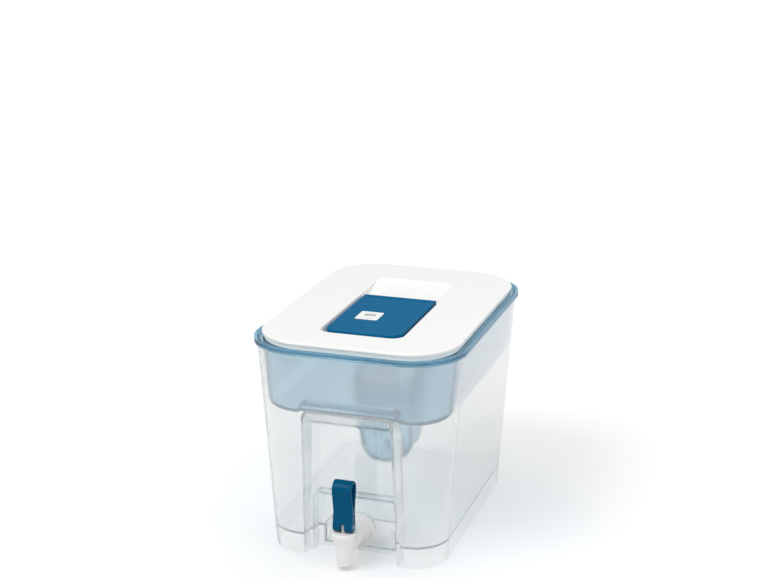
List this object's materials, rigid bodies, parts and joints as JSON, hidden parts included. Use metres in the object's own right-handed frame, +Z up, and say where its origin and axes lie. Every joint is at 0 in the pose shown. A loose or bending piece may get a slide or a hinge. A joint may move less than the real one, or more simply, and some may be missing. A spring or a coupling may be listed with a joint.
{
  "type": "gravity water filter with tap",
  "caption": "Clear tapered tank with a blue-levered tap, a translucent blue hopper with a cartridge well, an oval filter cartridge, a white lid and a blue cover.",
  "frame": {"origin": "middle of the footprint, at the surface it stands on", "axes": "+Z up, -Y towards the tap and the person who draws water, +X to their right"},
  "size_m": [0.2, 0.2935, 0.2113],
  "materials": {
    "clear_plastic": "clear moulded, glossy",
    "tinted_plastic": "translucent blue, glossy",
    "white_plastic": "satin white",
    "deep_blue_plastic": "glossy dark blue",
    "blue_plastic": "satin blue",
    "stem_plastic": "natural acetal",
    "silicone": "translucent white silicone",
    "pin_steel": "drawn wire",
    "screen_plastic": "moulded mesh",
    "media_granules": "dark granules",
    "display_glass": "dark display",
    "board_laminate": "circuit laminate",
    "cell_steel": "pressed cell case"
  },
  "bodies": {
    "tank_body": {"tank": "clear_plastic", "tap_body": "white_plastic", "tap_bonnet": "white_plastic", "tap_outer_washer": "silicone", "tap_inner_washer": "silicone", "tap_nut": "white_plastic"},
    "stem_body": {"tap_stem": "stem_plastic", "tap_seat_cup": "silicone", "lever_pin": "pin_steel"},
    "lever_body": {"tap_lever": "deep_blue_plastic"},
    "hopper_body": {"hopper": "tinted_plastic"},
    "cartridge_body": {"cartridge_cup": "white_plastic", "cartridge_cap": "white_plastic", "cartridge_bottom_screen": "screen_plastic", "cartridge_top_screen": "screen_plastic", "filter_media": "media_granules"},
    "loop_body": {"cartridge_pull_loop": "white_plastic"},
    "lid_body": {"lid": "white_plastic"},
    "cover_body": {"cover": "blue_plastic", "memo_bezel": "white_plastic", "memo_display": "display_glass", "memo_board": "board_laminate", "memo_battery": "cell_steel", "memo_back_door": "blue_plastic"},
    "button_body": {"memo_button": "white_plastic"}
  },
  "joints": [
    {"name": "hopper_lift", "type": "slide", "parent": "tank_body", "child": "hopper_body", "axis": [0, 0, 1], "range_m": [0, 0.1165]},
    {"name": "lid_lift", "type": "slide", "parent": "hopper_body", "child": "lid_body", "axis": [0, 0, 1], "range_m": [0, 0.1323]},
    {"name": "cartridge_lift", "type": "slide", "parent": "hopper_body", "child": "cartridge_body", "axis": [0, 0, 1], "range_m": [0, 0.1323]},
    {"name": "cover_lift", "type": "slide", "parent": "lid_body", "child": "cover_body", "axis": [0, 0, 1], "range_m": [0, 0.0373]},
    {"name": "memo_press", "type": "slide", "parent": "cover_body", "child": "button_body", "axis": [0, 0, 1], "range_m": [-0.0006, 0], "stiffness_N_per_m": 300},
    {"name": "loop_swing", "type": "hinge", "parent": "cartridge_body", "child": "loop_body", "pos_m": [0, -0.02199, 0.138], "axis": [-1, 0, 0], "range_deg": [-80, 0]},
    {"name": "stem_lift", "type": "slide", "parent": "tank_body", "child": "stem_body", "axis": [0, 0, 1], "range_m": [0, 0.0021]},
    {"name": "lever_tilt", "type": "hinge", "parent": "stem_body", "child": "lever_body", "pos_m": [0, -0.13525, 0.0425], "axis": [-1, 0, 0], "range_deg": [-80, 0], "stiffness_Nm_per_rad": 0.02}
  ],
  "couplings": [
    {"joint": "cartridge_lift", "follows": "lid_lift", "ratio": 1},
    {"joint": "stem_lift", "follows": "lever_tilt", "m_per_rad": -0.001504}
  ]
}
